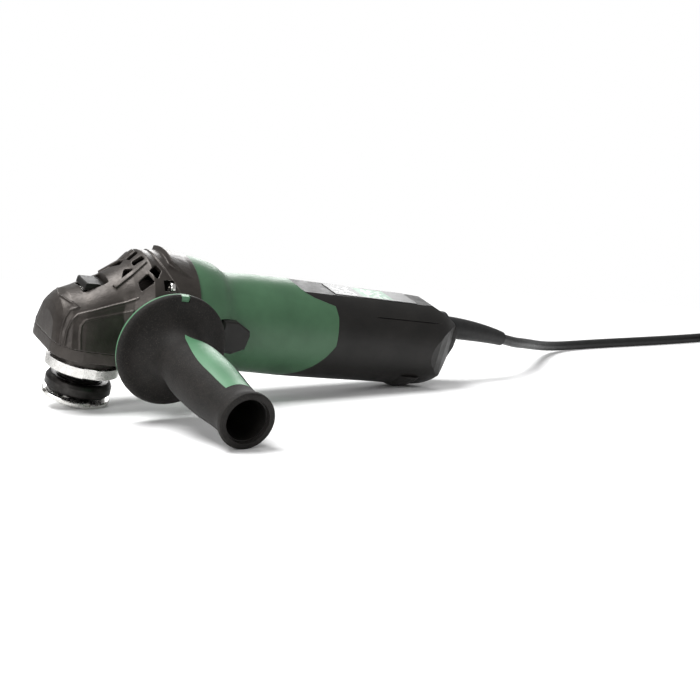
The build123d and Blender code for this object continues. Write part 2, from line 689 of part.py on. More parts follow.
def stator_core():
    """The field laminations: a yoke and two poles, above and below the armature."""
    yoke = ring(SHAFT, STATOR_R, 22.4, STATOR_START, STATOR_END)
    pole = ring(SHAFT, 22.6, STATOR_BORE, STATOR_START, STATOR_END)
    wedge = side_sector(50)
    return yoke + (pole & (wedge + around_shaft(wedge, 180)))


def side_sector(half_angle):
    """A wedge about the motor shaft, open upwards."""
    reach = 40.0
    half = reach * tan(radians(half_angle))
    face = SHAFT.offset(60) * make_face(Polyline((0, 0), (half, reach), (-half, reach), close=True))
    return extrude(face, 75)


def field_coil():
    """One saddle coil: two legs beside a pole, joined by end turns."""
    shell = ring(SHAFT, 22.2, 18.3, 65.5, 124.5)
    span = side_sector(50.5)
    wide = box((60, 130), (-40, 40), (2.2, 40))
    window = span & box((STATOR_START - 0.5, STATOR_END + 0.5), (-40, 40), (0, 40))
    return (shell & wide) - window


def stator_windings():
    coil = field_coil()
    return [coil, around_shaft(coil, 180)]


def brush_holder_upper():
    """A brass-lined box that guides one carbon brush."""
    body = box(*BRUSH_HOLDER)
    way = box((BRUSH_X - BRUSH_HALF_X - 0.1, BRUSH_X + BRUSH_HALF_X + 0.1),
              (-BRUSH_HALF_Y - 0.1, BRUSH_HALF_Y + 0.1), (0, BRUSH_WAY_END))
    return body - way


def brush_upper():
    body = box((BRUSH_X - BRUSH_HALF_X, BRUSH_X + BRUSH_HALF_X), (-BRUSH_HALF_Y, BRUSH_HALF_Y),
               (COMMUTATOR_R - 1, BRUSH_END))
    return body - rod(SHAFT, COMMUTATOR_R + 0.06, 120, 145)


def brush_spring_upper():
    height = BRUSH_WAY_END - BRUSH_END - 1.0
    return Pos(BRUSH_X, 0, BRUSH_END + 0.1) * coil_spring(2.4, 0.3, height, 4)


def lower(shape):
    """The same piece below the commutator."""
    return around_shaft(shape, 180)


# ---- rear cover and what it holds

def rear_outline():
    return [(31.6, REAR_SPLIT + 0.3), (31.4, 150.0), (30.9, 178.0), (30.4, 205.0), (30.0, 232.0),
            (28.6, 242.0), (24.6, 251.0), (18.0, 258.6), (9.0, REAR_END)]


def rear_side_view(inset):
    """The cover from the side: flat on top, with a raked underside at the rear."""
    under = [(231.5, -33.0), (238.5, -26.2), (247.0, -18.5), (256.0, -8.0)]
    end = [(261.0, 1.0), (262.0, 9.0)]
    over = [(261.0, 15.0), (253.4, 19.6), (243.5, 24.9), (235.0, FACET_Z)]
    outline = [(100, 60), (100, -60), (231.0, -60)]
    outline += [(x - inset, z + inset) for x, z in under]
    outline += [(x - inset, z) for x, z in end]
    outline += [(x - inset, z - inset) for x, z in over]
    outline += [(100, FACET_Z + 0.9 - inset)]
    return side_prism(outline, -60, 60)


def rear_plan(inset):
    """The cover from above: its sides draw in towards the cord."""
    half = [(100, 40), (228, 40), (229, 31.0), (238, 27.4), (246, 22.0), (252, 16.5), (257, 11.5)]
    half += [(264, 9.0)]
    outline = [(x - inset, y - inset) for x, y in half]
    outline += [(x - inset, inset - y) for x, y in reversed(half)]
    return Pos(0, 0, -60) * extrude(make_face(Polyline(*outline, close=True)), 120)


def rear_foot():
    """The low bump that the tool rests on."""
    outline = [(20, 211), (29.0, 211), (30.4, 214.5), (FOOT_R - 0.3, 219.5), (FOOT_R, FOOT_X),
               (31.4, 227.4), (29.0, 233.0), (20, 233)]
    return turned(SHAFT, outline) & box((205, 240), (-26, 26), (-40, -18))


def rear_shell(inset):
    curve = [(radius - inset, x - (inset if x > 240 else 0)) for radius, x in rear_outline()]
    return turned_curve(SHAFT, curve, [(0, curve[-1][1]), (0, curve[0][1])]) & rear_side_view(inset)


def rear_cover():
    skin = rear_shell(0) - lobe_prism(0.25) + rear_foot()
    skin &= rear_plan(0)
    skin -= rear_shell(2.6) & rear_plan(2.6) & box((152.3, 270), (-50, 50), (-50, 50))
    skin -= rod(SHAFT, BODY_BORE + 0.15, 100, 152.3)
    for side in (1, -1):
        groove = box((186, 237), (22.4 * side - 1.2, 22.4 * side + 1.2), (19.9, 20.6))
        skin -= groove & (rear_shell(-1) - rear_shell(0.8))
    slot = Pos(0, 0, -30) * Box(2.6, 15, 12)
    for index in range(6):
        skin -= Pos(164 + 6.5 * index, 0, 0) * slot
    collar = Pos(0, 0, EXIT_Z) * rod(SHAFT, 12.6, 246.0, 259.0)
    skin += collar & rear_shell(0)
    sleeve_seat = rod(SHAFT, GUARD_COLLAR_R + 0.1, 249, 254)
    skin -= Pos(0, 0, EXIT_Z) * (sleeve_seat + rod(SHAFT, GUARD_NECK_R + 0.1, 240, 275))
    for angle in REAR_SCREW_ANGLES:
        skin -= around_shaft(radial_hole(3.1, 29.4) + radial_hole(1.7, 20), angle)
    return skin.solids().sort_by(SortBy.VOLUME)[-1]


def radial_hole(radius, bottom):
    """A hole from outside into the joint between motor housing and rear cover."""
    return Pos(REAR_SCREW_X, 0, 0) * rod(SPINDLE, radius, bottom, 40)


def label_plate():
    """A thin blank rating plate on the flat top."""
    plate = box((158, 222), (-10.2, 10.2), (FACET_Z - 1, FACET_Z + 1.6))
    corners = [(150, FACET_Z + 0.62), (150, FACET_Z + 0.95), (228, FACET_Z + 0.5), (228, FACET_Z + 0.17)]
    return plate & side_prism(corners, -15, 15)


def switch_module():
    body = box((168, 196), (-24.0, -8.0), (-9.0, 9.0))
    lever = box((166.4, 168.1), (-23.0, -17.0), (-3, 3))
    terminals = [box((196, 201), (-20.0, -12.0), (z - 1.2, z + 1.2)) for z in (-5, 5)]
    return body + lever + terminals


def capacitor():
    return fillet(box((172, 196), (-4.0, 9.5), (4.0, 20.0)).edges(), 0.8)


def terminal_block():
    body = box((206, 226), (-9, 9), (-6, 4))
    for index in range(3):
        body -= Pos(0, -6 + 6 * index, 0) * (Pos(0, 0, -1) * rod(SHAFT, 1.6, 200, 230))
        body -= Pos(210, -6 + 6 * index, 0) * rod(SPINDLE, 1.8, 0, 6)
    return body


def cord_clamp():
    """The bar that holds the cord inside the cover."""
    bar = box((232.5, 240.5), (-13.0, 13.0), (EXIT_Z + 0.2, EXIT_Z + 7.5))
    bar -= Pos(0, 0, EXIT_Z) * rod(SHAFT, CORD_D / 2 + 0.05, 220, 250)
    base = box((231.5, 241.5), (-15.0, 15.0), (EXIT_Z - 8.5, EXIT_Z - 0.2))
    base -= Pos(0, 0, EXIT_Z) * rod(SHAFT, CORD_D / 2 + 0.05, 220, 250)
    holes = [Pos(236.5, y, 0) * rod(SPINDLE, 1.5, 0, 40) for y in (-9.5, 9.5)]
    return [bar - holes, base - holes]


def cord_clamp_screws():
    screw = pan_screw(2.8, 1.8, 1.45, 12)
    return [Pos(236.5, y, EXIT_Z + 7.5) * (Rot(180, 0, 0) * screw) for y in (-9.5, 9.5)]


def rear_cover_screws():
    screw = Pos(REAR_SCREW_X, 0, 29.4) * (Rot(180, 0, 0) * pan_screw(2.8, 1.4, 1.4, 8.0))
    return [around_shaft(screw, angle) for angle in REAR_SCREW_ANGLES]


# ---- slide switch

def switch_slider():
    """The thumb piece outside, with the stem that passes through the housing."""
    low, high = SLIDER_MID_Z - 10.0, SLIDER_MID_Z + 11.0
    face = Plane.XZ * make_face(Polyline(
        (SLIDER_FRONT, low + 1.0), (SLIDER_FRONT, high), (SLIDER_REAR - 9.5, high),
        (SLIDER_REAR, high - 5.0), (SLIDER_REAR + 0.6, high - 8.5), (SLIDER_REAR - 0.6, low + 4.0),
        (SLIDER_REAR - 9.5, low), close=True))
    slab = Pos(0, SLIDER_SEAT - GAP, 0) * extrude(face, SLIDER_SEAT - GAP - SLIDER_FACE)
    outer_edges = slab.edges().group_by(Axis.Y)[0]
    slab = chamfer(outer_edges, 1.0)
    stem = box((STEM_FRONT, STEM_REAR), (-33.5, ROD_Y - 0.9),
               (SLIDER_MID_Z - 3.6, SLIDER_MID_Z + 3.6))
    return slab + stem


def switch_rod():
    """The flat rod that carries the slider's travel back to the switch."""
    return box((STEM_FRONT, 166.2), (ROD_Y - 0.9, ROD_Y + 0.4),
               (SLIDER_MID_Z - 3.0, SLIDER_MID_Z + 3.0))


# ---- side handle

def handle_stud():
    return rod(HANDLE, STUD_R, 24.5, 92.0)


def handle_core():
    """The stiff core: a nose, the disc behind the flange, and the tube inside the grip."""
    body = turned(HANDLE, [
        (STUD_R, HANDLE_BOSS), (11.5, HANDLE_BOSS), (12.5, 41.0), (11.0, 50.0), (13.0, 56.0),
        (30.0, 61.0), (33.8, 62.6), (33.8, 64.4), (13.6, 65.8), (12.6, 74.0), (12.6, 95.0),
        (11.9, 95.0), (STUD_R, 92.0),
    ])
    tab = Pos(HANDLE_X, 0, HANDLE_Z) * box((-2.6, 2.6), (-HANDLE_FLANGE_FACE - 0.4, -63.5), (30.6, 33.8))
    return body + tab


def handle_tube():
    """The stiff liner of the grip's hollow end."""
    outline = [(12.6, 95.0), (12.6, 100.0), (13.2, 120.0), (12.9, 168.0), (11.9, 168.0), (11.9, 95.0)]
    return turned(HANDLE, outline)


def grip_curve():
    return [(HANDLE_FLANGE_R, HANDLE_FLANGE_FACE - 0.6), (33.3, HANDLE_FLANGE_FACE + 0.8),
            (28.0, 68.0), (20.5, 71.0), (15.9, 77.0), (15.0, 84.0), (16.2, 91.0), (17.4, 101.0),
            (17.5, 114.0), (16.8, 130.0), (15.3, 145.0), (14.7, 156.0), (15.3, 163.0),
            (HANDLE_END_R, 167.0), (HANDLE_END_R, HANDLE_END - 0.6)]


def grip_body():
    return turned_curve(HANDLE, grip_curve(), [
        (HANDLE_END_R - 0.8, HANDLE_END), (12.9, HANDLE_END), (12.6, 168.1), (12.95, 168.1),
        (13.25, 120.0), (12.65, 100.0), (12.65, 74.0), (13.65, 65.85), (33.5, 64.46),
        (HANDLE_FLANGE_R, 64.6),
    ])


def leaf_prism(grow):
    """The leaf-shaped window for the insert: a pointed tip by the flange and a blunt end."""
    tip, widest, end = 80.0, 128.0, 153.5
    half = 9.0 + grow
    up = Plane(origin=(HANDLE_X - 1.5, 0, 0), x_dir=(0, -1, 0), z_dir=(0, 0, 1))
    left = ThreePointArc((tip - grow, 0), ((tip + widest) / 2 - 4, half * 0.72), (widest, half))
    left_end = Line((widest, half), (end + grow, half - 1.8))
    right_end = Line((end + grow, 1.8 - half), (widest, -half))
    right = ThreePointArc((widest, -half), ((tip + widest) / 2 - 4, -half * 0.72), (tip - grow, 0))
    close = Line((end + grow, half - 1.8), (end + grow, 1.8 - half))
    return up * extrude(make_face(left + left_end + close + right_end + right), 40)


def handle_grip():
    grip = grip_body() - leaf_prism(0)
    tab = Pos(HANDLE_X, 0, HANDLE_Z) * box((-2.7, 2.7), (-70, -60), (30.5, 36))
    return grip - tab


def handle_insert():
    """The coloured insert, let into the grip."""
    skin = grip_body() & leaf_prism(-0.1)
    return skin.solids().sort_by(SortBy.VOLUME)[-1]


# ---- cord, in the resting frame

def cord_guard():
    """The tapered sleeve that keeps the cord from kinking, on a line that droops to the rear."""
    line = Spline(*GUARD_LINE)
    sections = [
        Plane(origin=point, z_dir=line % line.param_at_point(Vector(point))) * Circle(radius)
        for point, radius in zip(GUARD_LINE, GUARD_RADII)
    ]
    sleeve = loft(sections)
    anchor = Pos(0, 0, EXIT_Z) * rod(SHAFT, GUARD_COLLAR_R, 249.1, 253.9)
    return sleeve + anchor


def tube(points):
    """The cord's tube through a list of points, with the largest arcs that its runs allow."""
    points = [Vector(*point) for point in points]
    radii = []
    for before, here, after in zip(points, points[1:], points[2:]):
        half_turn = radians((here - before).get_angle(after - here)) / 2
        shorter = min((here - before).length, (after - here).length)
        radii.append(0.45 * shorter / tan(half_turn))
    path = FilletPolyline(*points, radius=radii)
    print("cord radii", [round(radius) for radius in radii], "length", round(path.length, 1))
    section = Plane(origin=path @ 0, z_dir=path % 0) * Circle(CORD_D / 2)
    swept = sweep(section, path=path)
    straight = pi * CORD_D ** 2 / 4 * path.length
    print("tube volume over section times length", round(swept.volume / straight, 4))
    return swept


def cord_coil():
    """The outer shape of the coil in which the rest of the cord lies."""
    outline = [
        (COIL_INNER, 2.5), (COIL_INNER + 2.5, 0), (COIL_OUTER - 2.5, 0), (COIL_OUTER, 2.5),
        (COIL_OUTER, COIL_HEIGHT - 2.5), (COIL_OUTER - 2.5, COIL_HEIGHT), (COIL_INNER + 2.5, COIL_HEIGHT),
        (COIL_INNER, COIL_HEIGHT - 2.5),
    ]
    return turned(Plane(origin=(*COIL_CENTRE, 0)), outline)


def cord(guard_end):
    """The free stretch from the sleeve to the coil."""
    return tube([guard_end, *CORD_ROUTE]) - cord_coil()


def cord_tail():
    return tube(TAIL_ROUTE) - cord_coil()


def plug_body():
    """A slim two-pin plug that lies flat, with a ribbed sleeve."""
    x, y, z = TAIL_ROUTE[-1]
    back = Plane(origin=(x, y, z), x_dir=(1, 0, 0), z_dir=(0, -1, 0))
    sleeve = loft([back * Circle(5.0), back.offset(16) * Circle(6.8)])
    sections = [
        back.offset(14) * RectangleRounded(15, 14, 5),
        back.offset(22) * RectangleRounded(30, 17.4, 7),
        back.offset(46) * RectangleRounded(35, 18.6, 7),
    ]
    body = sleeve + loft(sections)
    for index in range(4):
        body -= ring(back, 9, 5.2 + 0.3 * index, 3 + 3 * index, 4 + 3 * index)
    return body - cord_tail()


def plug_pins():
    x, y, z = TAIL_ROUTE[-1]
    front = Plane(origin=(x, y, z), x_dir=(1, 0, 0), z_dir=(0, -1, 0)).offset(46)
    pins = []
    for side in (-9.5, 9.5):
        pin = Cylinder(2.4, 19, align=BASE)
        pin = fillet(pin.edges().sort_by(Axis.Z)[-1], 1.6)
        pins.append(front * Pos(side, 0, 0) * pin)
    return pins


PIECES = {
    "gear_housing": gear_housing,
    "gear_cover": gear_cover,
    "guard_rim": guard_rim,
    "gear_cover_screws": gear_cover_screws,
    "gear_housing_screws": gear_housing_screws,
    "upper_spindle_bearing": upper_spindle_bearing,
    "lower_spindle_bearing": lower_spindle_bearing,
    "bearing_circlip": bearing_circlip,
    "spindle_seal": spindle_seal,
    "bearing_plate": bearing_plate,
    "front_bearing": front_bearing,
    "rear_bearing": rear_bearing,
    "bearing_boot": bearing_boot,
    "air_baffle": air_baffle,
    "motor_housing": motor_housing,
    "stator_core": stator_core,
    "stator_windings": stator_windings,
    "brush_holder_upper": brush_holder_upper,
    "brush_holder_lower": lambda: lower(brush_holder_upper()),
    "brush_upper": brush_upper,
    "brush_lower": lambda: lower(brush_upper()),
    "brush_spring_upper": brush_spring_upper,
    "brush_spring_lower": lambda: lower(brush_spring_upper()),
    "rear_cover": rear_cover,
    "rear_cover_screws": rear_cover_screws,
    "label_plate": label_plate,
    "switch_module": switch_module,
    "capacitor": capacitor,
    "terminal_block": terminal_block,
    "cord_clamp": cord_clamp,
    "cord_clamp_screws": cord_clamp_screws,
    "switch_slider": switch_slider,
    "switch_rod": switch_rod,
    "lock_button": lock_button,
    "lock_pin": lock_pin,
    "lock_spring": lock_spring,
    "spindle": spindle,
    "crown_gear": crown_gear,
    "spindle_key": lambda: key_block(0),
    "inner_flange": inner_flange,
    "clamping_nut": clamping_nut,
    "pinion": pinion,
    "pinion_nut": pinion_nut,
    "armature_shaft": armature_shaft,
    "armature_core": armature_core,
    "armature_windings": armature_windings,
    "commutator": commutator,
    "fan": fan,
    "handle_stud": handle_stud,
    "handle_core": handle_core,
    "handle_tube": handle_tube,
    "handle_grip": handle_grip,
    "handle_insert": handle_insert,
    "cord_guard": cord_guard,
}
CORD_PIECES = {
    "cord_tail": cord_tail,
    "cord_coil": cord_coil,
    "plug_body": plug_body,
    "plug_pins": plug_pins,
}


# ---- the resting pose

OUTER_PIECES = ("gear_housing", "gear_cover", "clamping_nut", "spindle", "handle_grip", "motor_housing",
                "rear_cover")
CONTACT_CIRCLES = (
    (Vector(0, 0, NUT_BOTTOM), Vector(0, 0, 1), NUT_R - 0.5),
    (Vector(HANDLE_X, -(HANDLE_END - 0.8), HANDLE_Z), Vector(0, 1, 0), HANDLE_END_R),
    (Vector(FOOT_X, 0, 0), Vector(1, 0, 0), FOOT_R),
)


def resting_plane():
    """The floor's plane in the tool's axes, through the lowest points of three round edges."""
    up = Vector(-0.1, 0.25, 1).normalized()
    for _ in range(20):
        points = []
        for centre, axis, radius in CONTACT_CIRCLES:
            down = up * -1
            radial = (down - axis * down.dot(axis)).normalized()
            points.append(centre + radial * radius)
        up = (points[1] - points[0]).cross(points[2] - points[0]).normalized()
    forward = (Vector(1, 0, 0) - up * up.X).normalized()
    return Plane(origin=points[0], x_dir=forward, z_dir=up)


def compound(shape):
    pieces = shape if isinstance(shape, list) else [shape]
    return Compound(children=[solid for piece in pieces for solid in piece.solids()])


def main():
    os.makedirs("parts", exist_ok=True)
    to_floor = resting_plane().location.inverse()
    laid = {name: to_floor * compound(make()) for name, make in PIECES.items()}
    bounds = [laid[name].bounding_box() for name in OUTER_PIECES]
    low_x, low_y, low_z = (min(getattr(bound.min, axis) for bound in bounds) for axis in "XYZ")
    high_x, high_y = (max(getattr(bound.max, axis) for bound in bounds) for axis in "XY")
    to_origin = Pos(-(low_x + high_x) / 2, -(low_y + high_y) / 2, -low_z)
    laid = {name: to_origin * shape for name, shape in laid.items()}
    guard_end = (to_origin * to_floor * Location(GUARD_LINE[-1])).position
    laid["cord"] = compound(cord(guard_end))
    for name, make in CORD_PIECES.items():
        laid[name] = compound(make())
    for name, shape in laid.items():
        export_step(shape, f"parts/{name}.step")


if __name__ == "__main__":
    main()
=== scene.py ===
"""The looks of an angle grinder that lies on a pale floor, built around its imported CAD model.

Details are placed in the tool's own axes, in millimetres: X along the motor shaft towards the
cord, Z along the spindle away from the disc, and the two cross at the origin. The record's
joints say where those axes are.
"""

import json
import math

import bmesh
import bpy
from mathutils import Matrix, Vector
from mathutils.bvhtree import BVHTree


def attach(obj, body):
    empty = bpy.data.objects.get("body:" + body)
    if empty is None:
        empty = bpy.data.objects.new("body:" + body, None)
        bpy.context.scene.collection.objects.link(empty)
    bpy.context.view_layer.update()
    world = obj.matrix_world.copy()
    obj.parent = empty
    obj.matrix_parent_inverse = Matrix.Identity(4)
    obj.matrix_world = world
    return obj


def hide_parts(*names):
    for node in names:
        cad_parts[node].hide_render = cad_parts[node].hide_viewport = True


MM = 0.001
WELD = 0.00001         # corners nearer than this, in metres, are one corner
VOXEL = 0.36           # grain of the remeshed castings, in millimetres
SMOOTHING = 3          # rounds of smoothing on a remeshed casting
RIDGE_R = 0.6          # radius of the raised lines on the head, in millimetres
RIDGE_STEPS = 10       # points between two corners of a raised line

# ---- camera: the place in the row frame in metres, and the angles in degrees
CAMERA_AT = (-0.5229, -0.8947, 0.1716)
CAMERA_AZIMUTH = 31.66
CAMERA_ELEVATION = 7.36
CAMERA_ROLL = 1.03
CAMERA_LENS = 87.8
SENSOR_WIDTH = 36

# ---- stage: sizes in metres, powers in watts
FLOOR_SIZE = 40
FLOOR_FADE_START = 0.35
FLOOR_FADE_END = 0.85
SEEN_WORLD = 1.0       # strength of the white surroundings, as the camera sees them
LIGHTING_WORLD = 0.45  # and as they light the tool
LIGHTS = (  # name, place, target, size, power
    ("key", (-0.5, 0.3, 1.6), (0, 0, 0.03), 1.1, 36),
    ("left", (-1.5, -0.7, 0.7), (-0.05, 0, 0.04), 0.6, 9),
    ("back", (0.9, 1.5, 0.8), (0, 0, 0.05), 0.8, 10),
)

# ---- cord: its real size, and the points of its route in millimetres in the row frame
CORD_D = 7.4
GUARD_END = (308.5, 3.0, 6.6)
CORD_ROUTE = (
    (211, 73.5, 23), (229, 87, 20), (250, 105.5, 16), (274, 128, 11.4), (299, 149, 7), (325, 163, 4),
    (362, 165.5, 3.7), (407, 162, 3.7), (455, 160.3, 3.7), (501, 164, 3.7),
)
COIL_CENTRE = (530, 119)
COIL_RADII = (50.0, 42.6, 35.2)
COIL_STEPS = 16
COIL_START = 90.0
LEAVING = ((578, 100, 17.5), (577, 84, 14.5), (575, 68, 11.0), (574, 50, 9.5))

# ---- colours, linear
CAST_DARK = (0.030, 0.025, 0.022)
CAST_LIGHT = (0.060, 0.052, 0.046)
# colour of the painted highlight on the casting's sharp edges
CAST_EDGE_HIGHLIGHT = (0.26, 0.245, 0.23)
GREEN_DARK = (0.040, 0.098, 0.050)
GREEN_LIGHT = (0.054, 0.128, 0.066)
MINT_DARK = (0.066, 0.175, 0.092)
MINT_LIGHT = (0.085, 0.215, 0.115)
BLACK = (0.006, 0.006, 0.006)
CHARCOAL = (0.012, 0.012, 0.012)


# ---- the tool's axes

def tool_matrix(joints):
    """The tool's axes in the row frame, from the joints of the spindle and the armature."""
    named = {joint["name"]: joint for joint in joints}
    origin = Vector(named["spindle_spin"]["pos_m"])
    up = Vector(named["spindle_spin"]["axis"]).normalized()
    along = Vector(named["armature_spin"]["axis"]).normalized()
    left = up.cross(along).normalized()
    turn = Matrix((along, left, up)).transposed().to_4x4()
    return Matrix.Translation(origin) @ turn


def place(x, y, z):
    """A point of the tool, given in millimetres, in the row frame in metres."""
    return TOOL @ (Vector((x, y, z)) * MM)


# ---- shader building

class Shade:
    """One material's nodes. Patterns are laid out in the tool's axes, in millimetres."""

    def __init__(self, name):
        self.material = bpy.data.materials.new(name)
        self.material.use_nodes = True
        self.tree = self.material.node_tree
        self.surface = self.tree.nodes["Principled BSDF"]
        coordinates = self.tree.nodes.new("ShaderNodeTexCoord")
        mapping = self.tree.nodes.new("ShaderNodeMapping")
        back = TOOL.inverted()
        mapping.inputs["Location"].default_value = back.translation / MM
        mapping.inputs["Rotation"].default_value = back.to_euler()
        mapping.inputs["Scale"].default_value = (1 / MM, 1 / MM, 1 / MM)
        self.tree.links.new(coordinates.outputs["Object"], mapping.inputs["Vector"])
        self.point = mapping.outputs["Vector"]

    def node(self, kind, output, inputs, **settings):
        """Adds a node, sets it up, feeds its inputs with values or sockets, and gives an output."""
        made = self.tree.nodes.new(kind)
        for name, value in settings.items():
            setattr(made, name, value)
        for name, value in inputs.items():
            if isinstance(value, bpy.types.NodeSocket):
                self.tree.links.new(value, made.inputs[name])
            else:
                made.inputs[name].default_value = value
        return made.outputs[output]

    def noise(self, size, detail=3.0, roughness=0.55):
        """Noise whose grains are about size millimetres."""
        return self.node("ShaderNodeTexNoise", "Fac", {
            "Vector": self.point, "Scale": 1 / size, "Detail": detail, "Roughness": roughness})

    def cells(self, size):
        return self.node("ShaderNodeTexVoronoi", "Distance", {"Vector": self.point, "Scale": 1 / size})

    def math(self, operation, first, second=0.0):
        return self.node("ShaderNodeMath", "Value", {0: first, 1: second}, operation=operation)

    def plus(self, first, second):
        return self.math("ADD", first, second)

    def times(self, first, second):
        return self.math("MULTIPLY", first, second)

    def between(self, value, low, high):
        """One where a value lies between two limits, else zero."""
        return self.times(self.math("GREATER_THAN", value, low), self.math("LESS_THAN", value, high))

    def wave(self, value, length):
        """A sine wave along a value in millimetres."""
        return self.math("SINE", self.times(value, 2 * math.pi / length))

    def reach(self, first, second):
        """The distance from the origin of two values' plane."""
        square = self.plus(self.times(first, first), self.times(second, second))
        return self.math("SQRT", square)

    # used for rubbed plastic edges, and for the painted highlight on the casting's sharp edges
    def edge_wear_and_highlight(self, radius, gain):
        """A mask that grows towards the sharp outer edges."""
        return self.times(self.math("SUBTRACT", 1.0, self.edges(radius)), gain)

    def ramp(self, value, *stops):
        """Colours along a value, from (place, colour) stops."""
        made = self.tree.nodes.new("ShaderNodeValToRGB")
        elements = made.color_ramp.elements
        while len(elements) < len(stops):
            elements.new(0.5)
        for element, (at, colour) in zip(elements, stops):
            element.position = at
            element.color = (*colour, 1) if isinstance(colour, tuple) else (colour,) * 3 + (1,)
        self.tree.links.new(value, made.inputs["Fac"])
        return made.outputs["Color"]

    def mix(self, share, first, second):
        made = self.tree.nodes.new("ShaderNodeMix")
        made.data_type = "RGBA"
        sockets = {0: share, 6: first, 7: second}
        for index, value in sockets.items():
            if isinstance(value, bpy.types.NodeSocket):
                self.tree.links.new(value, made.inputs[index])
            else:
                made.inputs[index].default_value = (*value, 1) if isinstance(value, tuple) else value
        return made.outputs[2]

    def axes(self):
        """The tool's X, Y and Z as three values."""
        made = self.tree.nodes.new("ShaderNodeSeparateXYZ")
        self.tree.links.new(self.point, made.inputs[0])
        return made.outputs

    def edges(self, radius):
        """A mask of the sharp outer edges, about radius millimetres wide."""
        rounded = self.node("ShaderNodeBevel", "Normal", {"Radius": radius * MM}, samples=4)
        true = self.tree.nodes.new("ShaderNodeNewGeometry").outputs["Normal"]
        return self.node("ShaderNodeVectorMath", "Value", {0: rounded, 1: true}, operation="DOT_PRODUCT")

    def feed(self, name, value):
        if isinstance(value, bpy.types.NodeSocket):
            self.tree.links.new(value, self.surface.inputs[name])
        else:
            plain_value = (*value, 1) if isinstance(value, tuple) else value
            self.surface.inputs[name].default_value = plain_value

    def bump(self, height, depth, normal=None):
        """A relief whose full height is depth millimetres."""
        inputs = {"Height": height, "Distance": depth * MM, "Strength": 1.0}
        if normal:
            inputs["Normal"] = normal
        return self.node("ShaderNodeBump", "Normal", inputs)

    def finish(self, **values):
        for name, value in values.items():
            self.feed(name.replace("_", " "), value)
        return self.material


# ---- materials

def cast_paint():
    """Bronze-grey paint on a casting: orange peel, and a painted highlight along the sharp edges."""
    shade = Shade("cast_paint")
    tone = shade.ramp(shade.noise(14, 4), (0.3, CAST_DARK), (0.75, CAST_LIGHT))
    # painted highlight: the sharp edges are mixed towards a much lighter colour, as where light catches them
    edge_wear_and_highlight = shade.times(shade.edge_wear_and_highlight(0.7, 5.0), shade.noise(1.6, 4))
    colour = shade.mix(shade.ramp(edge_wear_and_highlight, (0.12, 0.0), (0.75, 1.0)), tone, CAST_EDGE_HIGHLIGHT)
    rough = shade.ramp(shade.noise(3.0), (0.3, 0.30), (0.7, 0.44))
    relief = shade.plus(shade.noise(0.9, 5), shade.times(shade.noise(4.5), 1.5))
    return shade.finish(Base_Color=colour, Metallic=0.55, Roughness=rough,
                        Normal=shade.bump(relief, 0.09))


def grained(name, dark, light, rough, grain=0.5, depth=0.05, level=0.35):
    """A moulded plastic with a fine spark-eroded grain and slightly rubbed edges."""
    shade = Shade(name)
    tone = shade.ramp(shade.noise(22, 3), (0.3, dark), (0.7, light))
    edge_wear_and_highlight = shade.edge_wear_and_highlight(0.6, 2.5)
    rubbed = tuple(min(1.0, value * 1.5 + 0.01) for value in light)
    colour = shade.mix(shade.ramp(edge_wear_and_highlight, (0.1, 0.0), (0.8, 1.0)), tone, rubbed)
    roughness = shade.ramp(shade.noise(6), (0.3, rough - 0.05), (0.7, rough + 0.05))
    relief = shade.plus(shade.noise(grain, 2, 0.7), shade.times(shade.cells(grain * 1.6), 0.6))
    return shade.finish(Base_Color=colour, Roughness=roughness, Normal=shade.bump(relief, depth),
                        Specular_IOR_Level=level)


def speckled_rubber():
    """The soft grip: near black, with a dense mineral speckle and a matt, pebbled skin."""
    shade = Shade("speckled_rubber")
    base = shade.ramp(shade.noise(9, 3), (0.3, (0.007, 0.0065, 0.006)), (0.7, (0.014, 0.0125, 0.0115)))
    speck = shade.ramp(shade.noise(0.55, 2, 0.8), (0.56, 0.0), (0.68, 1.0))
    colour = shade.mix(speck, base, (0.042, 0.036, 0.031))
    relief = shade.plus(shade.cells(0.8), shade.noise(0.5, 3))
    return shade.finish(Base_Color=colour, Roughness=0.66, Normal=shade.bump(relief, 0.06),
                        Specular_IOR_Level=0.2)


def rubber(name, rough=0.55):
    shade = Shade(name)
    colour = shade.ramp(shade.noise(5, 3), (0.3, BLACK), (0.7, CHARCOAL))
    roughness = shade.ramp(shade.noise(2.2), (0.3, rough - 0.07), (0.7, rough + 0.07))
    return shade.finish(Base_Color=colour, Roughness=roughness, Specular_IOR_Level=0.35,
                        Normal=shade.bump(shade.noise(0.7, 3), 0.03))


def turned_metal(name, dark, light, rough, rings=0.35, depth=0.015, about="spindle"):
    """Metal with the fine rings that a lathe leaves about the spindle or the shaft."""
    shade = Shade(name)
    x, y, z = shade.axes()
    first, second = (x, y) if about == "spindle" else (y, z)
    wave = shade.wave(shade.reach(first, second), rings)
    fine = shade.plus(shade.times(wave, 0.5), shade.noise(0.4, 2))
    colour = shade.ramp(shade.noise(3.5, 4), (0.3, dark), (0.7, light))
    roughness = shade.ramp(shade.noise(1.5, 4), (0.3, rough - 0.06), (0.75, rough + 0.1))
    return shade.finish(Base_Color=colour, Metallic=1.0, Roughness=roughness,
                        Normal=shade.bump(fine, depth))


def sheet_stack():
    """Varnished electrical sheets, stacked along the motor shaft."""
    shade = Shade("sheet_stack")
    x, _, _ = shade.axes()
    wave = shade.wave(x, 0.5)
    colour = shade.ramp(shade.noise(4), (0.3, (0.10, 0.10, 0.11)), (0.7, (0.20, 0.20, 0.21)))
    return shade.finish(Base_Color=colour, Metallic=0.9, Roughness=0.42, Normal=shade.bump(wave, 0.08))


def wound_copper():
    """Enamelled wire, seen as fine strands."""
    shade = Shade("wound_copper")
    x, y, z = shade.axes()
    strands = shade.math("SINE", shade.times(shade.plus(x, shade.plus(y, z)), 7.0))
    colour = shade.ramp(shade.noise(1.2, 3), (0.3, (0.33, 0.10, 0.03)), (0.7, (0.62, 0.24, 0.09)))
    return shade.finish(Base_Color=colour, Metallic=0.85, Roughness=0.34,
                        Normal=shade.bump(strands, 0.12))


